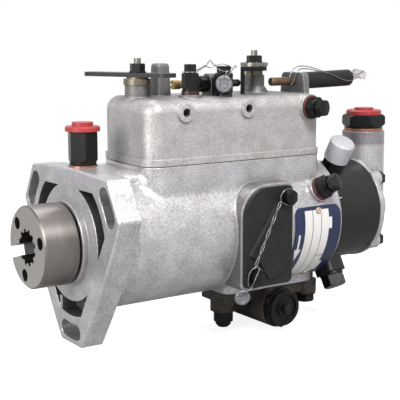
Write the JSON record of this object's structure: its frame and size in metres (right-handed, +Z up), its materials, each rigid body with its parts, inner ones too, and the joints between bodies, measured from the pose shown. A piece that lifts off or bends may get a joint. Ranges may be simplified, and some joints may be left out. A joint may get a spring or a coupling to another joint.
{
  "type": "diesel injection pump",
  "caption": "Rotary distributor injection pump with flanged drive end, splined hub, governor cover with control levers and stop screws, hydraulic head, end plate and advance unit.",
  "frame": {"origin": "centre of the flange mounting face, on the pump axis", "axes": "+X along the pump axis from the drive end to the end plate, +Z up towards the governor cover, -Y towards the nameplate side"},
  "size_m": [0.2641, 0.1132, 0.1719],
  "materials": {
    "cast_aluminium": "as-cast satin",
    "ground_steel": "ground",
    "sheet_steel": "satin",
    "zinc_plate": "zinc plated",
    "black_steel": "black oxide",
    "phosphated_iron": "phosphated",
    "painted_plate": "satin dark paint",
    "brass_fittings": "satin",
    "bronze_screw": "satin",
    "copper_rings": "satin copper",
    "gasket_paper": "fibre gasket",
    "black_plastic": "matte",
    "red_plastic": "satin",
    "clear_plastic": "translucent",
    "seal_metal": "dull",
    "plate_enamel": "printed, blank fields",
    "rivet_aluminium": "bright"
  },
  "bodies": {
    "pump": {"advance_end_caps": "black_steel", "advance_housing": "phosphated_iron", "advance_nut": "black_steel", "banjo_block": "phosphated_iron", "banjo_bolt": "black_steel", "control_bracket": "sheet_steel", "copper_washers": "copper_rings", "cover_gasket": "gasket_paper", "cover_nuts": "black_steel", "end_plate": "cast_aluminium", "end_plate_bolts": "black_steel", "governor_cover": "cast_aluminium", "hydraulic_head": "black_steel", "idle_locknut": "black_steel", "idle_screw": "brass_fittings", "inlet_connection": "black_steel", "inspection_bolts": "black_steel", "inspection_plate": "painted_plate", "leak_off_connection": "black_steel", "locating_fitting": "black_steel", "max_screw_sleeve": "black_plastic", "max_speed_screw": "bronze_screw", "nameplate": "plate_enamel", "nameplate_rivets": "rivet_aluminium", "outlet_adaptors": "black_steel", "outlet_caps": "clear_plastic", "plastic_caps": "red_plastic", "pump_housing": "cast_aluminium", "shutoff_dust_cap": "zinc_plate", "throttle_collar": "brass_fittings", "vent_plugs": "black_steel", "vent_screws": "black_steel", "wire_seals": "seal_metal"},
    "drive": {"drive_hub": "ground_steel", "drive_shaft": "ground_steel", "weight_retainer": "sheet_steel", "distributor_rotor": "ground_steel", "pumping_plungers": "ground_steel", "roller_shoes": "ground_steel", "cam_rollers": "ground_steel", "transfer_pump_rotor": "ground_steel", "transfer_blades": "ground_steel"},
    "sleeve": {"thrust_sleeve": "ground_steel"},
    "arm": {"governor_arm": "sheet_steel"},
    "link": {"linkage_rod": "sheet_steel"},
    "metering": {"metering_valve": "ground_steel"},
    "throttle": {"throttle_shaft": "ground_steel", "throttle_stop_plate": "black_steel", "throttle_arm_plate": "zinc_plate", "throttle_nut": "black_steel"},
    "shutoff": {"shutoff_shaft": "ground_steel", "shutoff_lever": "black_steel", "shutoff_nut": "black_steel"},
    "cam": {"cam_ring": "ground_steel", "cam_advance_screw": "sheet_steel"},
    "advance": {"advance_piston": "ground_steel"},
    "weight_1": {"governor_weight_1": "sheet_steel"},
    "weight_2": {"governor_weight_2": "sheet_steel"},
    "weight_3": {"governor_weight_3": "sheet_steel"},
    "weight_4": {"governor_weight_4": "sheet_steel"}
  },
  "joints": [
    {"name": "drive_turn", "type": "hinge", "parent": "pump", "child": "drive", "pos_m": [0, 0, 0], "axis": [1, 0, 0], "continuous": true},
    {"name": "sleeve_slide", "type": "slide", "parent": "drive", "child": "sleeve", "axis": [1, 0, 0], "range_m": [0, 0.0025]},
    {"name": "arm_pivot", "type": "hinge", "parent": "pump", "child": "arm", "pos_m": [0.0817, 0, 0.03], "axis": [0, -1, 0], "range_deg": [0, 4.8]},
    {"name": "link_pivot", "type": "hinge", "parent": "arm", "child": "link", "pos_m": [0.0817, 0.012, 0.06], "axis": [0, -1, 0], "range_deg": [-4.8, 0]},
    {"name": "metering_turn", "type": "hinge", "parent": "pump", "child": "metering", "pos_m": [0.1482, 0, 0.04], "axis": [0, 0, 1], "range_deg": [0, 12]},
    {"name": "throttle_turn", "type": "hinge", "parent": "pump", "child": "throttle", "pos_m": [0.1326, 0.0035, 0.09], "axis": [0, 0, 1], "range_deg": [0, 81.9]},
    {"name": "shutoff_turn", "type": "hinge", "parent": "pump", "child": "shutoff", "pos_m": [0.0465, 0.001, 0.09], "axis": [0, 0, 1], "range_deg": [0, 40]},
    {"name": "cam_turn", "type": "hinge", "parent": "pump", "child": "cam", "pos_m": [0.134, 0, 0], "axis": [1, 0, 0], "range_deg": [0, 6]},
    {"name": "advance_slide", "type": "slide", "parent": "pump", "child": "advance", "axis": [0, 1, 0], "range_m": [0, 0.0056]},
    {"name": "weight_1_pivot", "type": "hinge", "parent": "drive", "child": "weight_1", "pos_m": [0.0505, -0.01697, 0.01697], "axis": [0, -0.7071, -0.7071], "range_deg": [0, 10.8]},
    {"name": "weight_2_pivot", "type": "hinge", "parent": "drive", "child": "weight_2", "pos_m": [0.0505, -0.01697, -0.01697], "axis": [0, 0.7071, -0.7071], "range_deg": [0, 10.8]},
    {"name": "weight_3_pivot", "type": "hinge", "parent": "drive", "child": "weight_3", "pos_m": [0.0505, 0.01697, -0.01697], "axis": [0, 0.7071, 0.7071], "range_deg": [0, 10.8]},
    {"name": "weight_4_pivot", "type": "hinge", "parent": "drive", "child": "weight_4", "pos_m": [0.0505, 0.01697, 0.01697], "axis": [0, -0.7071, 0.7071], "range_deg": [0, 10.8]}
  ],
  "couplings": [
    {"joint": "arm_pivot", "follows": "sleeve_slide", "rad_per_m": 33.333},
    {"joint": "link_pivot", "follows": "sleeve_slide", "rad_per_m": -33.333},
    {"joint": "metering_turn", "follows": "sleeve_slide", "rad_per_m": 83.333},
    {"joint": "advance_slide", "follows": "cam_turn", "m_per_rad": 0.053},
    {"joint": "weight_1_pivot", "follows": "sleeve_slide", "rad_per_m": 75},
    {"joint": "weight_2_pivot", "follows": "sleeve_slide", "rad_per_m": 75},
    {"joint": "weight_3_pivot", "follows": "sleeve_slide", "rad_per_m": 75},
    {"joint": "weight_4_pivot", "follows": "sleeve_slide", "rad_per_m": 75}
  ]
}
